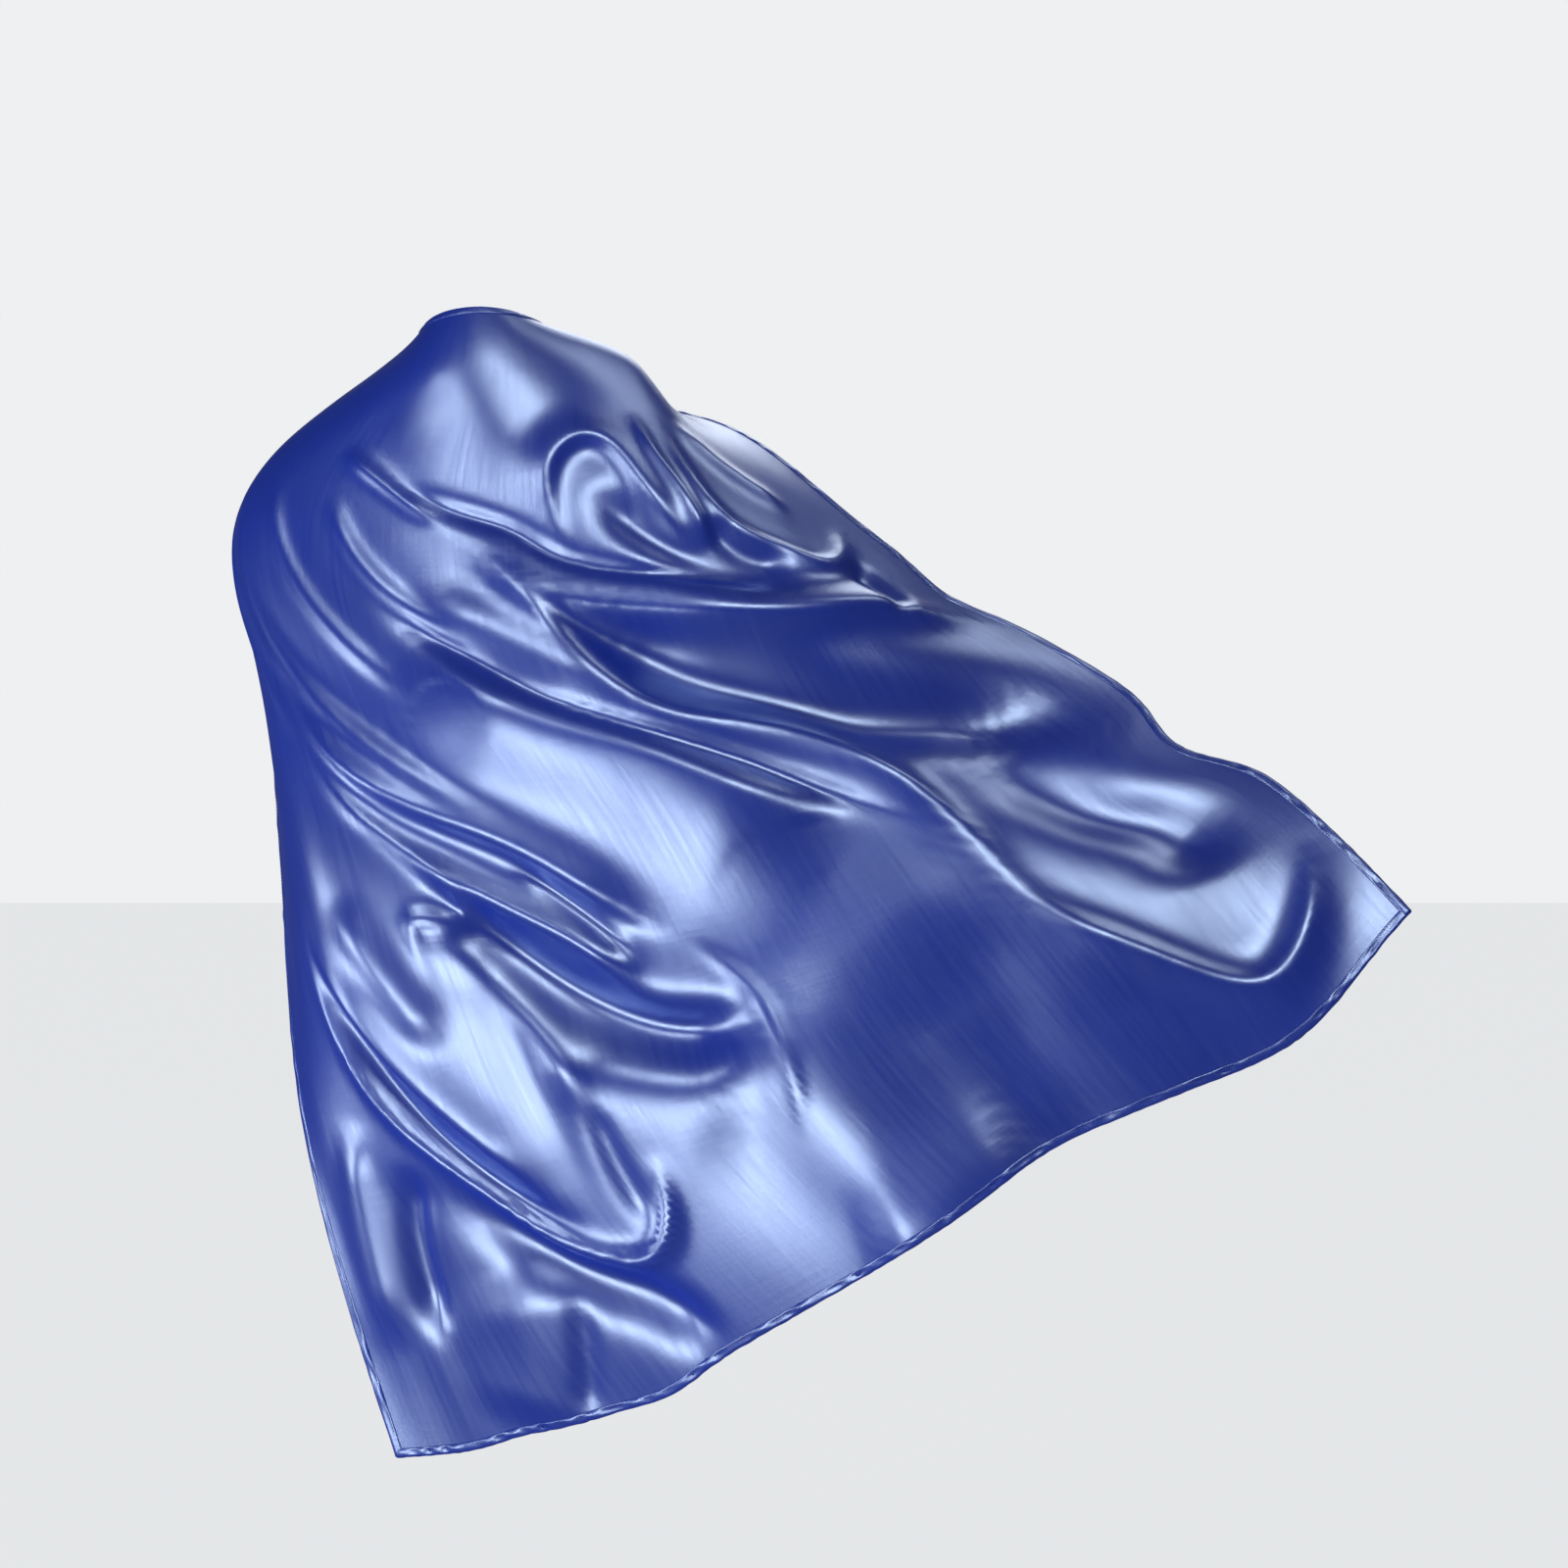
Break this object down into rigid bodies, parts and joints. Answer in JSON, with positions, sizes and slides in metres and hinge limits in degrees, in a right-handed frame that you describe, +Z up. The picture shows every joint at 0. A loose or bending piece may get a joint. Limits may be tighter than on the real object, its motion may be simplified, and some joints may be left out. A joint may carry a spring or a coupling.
{
  "type": "superhero cape",
  "caption": "Royal blue satin costume cape, narrow bound neckline, hemmed edges, hook and loop throat closure, draped and blown to one side.",
  "frame": {"origin": "centre of the neck opening", "axes": "+Z up, +Y the way the wearer faces, +X the wearer's right, towards which the cape blows"},
  "size_m": [1.0962, 0.4641, 1.0996],
  "materials": {
    "satin": "glossy polyester satin, royal blue",
    "binding": "satin bias band, royal blue",
    "thread": "polyester sewing thread, royal blue",
    "loop_tape": "brushed nylon loop tape, dark blue",
    "hook_tape": "moulded nylon hook tape, dark blue",
    "label_tape": "white woven satin tape, blank"
  },
  "bodies": {
    "cape": {"cape_panel": "satin", "neck_binding": "binding", "left_hem": "satin", "right_hem": "satin", "bottom_hem": "satin", "left_tab": "satin", "loop_patch": "loop_tape", "neck_stitching": "thread", "left_hem_stitching": "thread", "right_hem_stitching": "thread", "bottom_hem_stitching": "thread", "loop_patch_stitching": "thread", "care_label": "label_tape", "care_label_stitching": "thread"},
    "closure_flap": {"right_tab": "satin", "hook_patch": "hook_tape", "hook_patch_stitching": "thread"}
  },
  "joints": [
    {"name": "closure_flap_peel", "type": "hinge", "parent": "cape", "child": "closure_flap", "pos_m": [0.02044, 0.06502, -0.03819], "axis": [0.4727, 0.4948, -0.7292], "range_deg": [0, 120]}
  ]
}
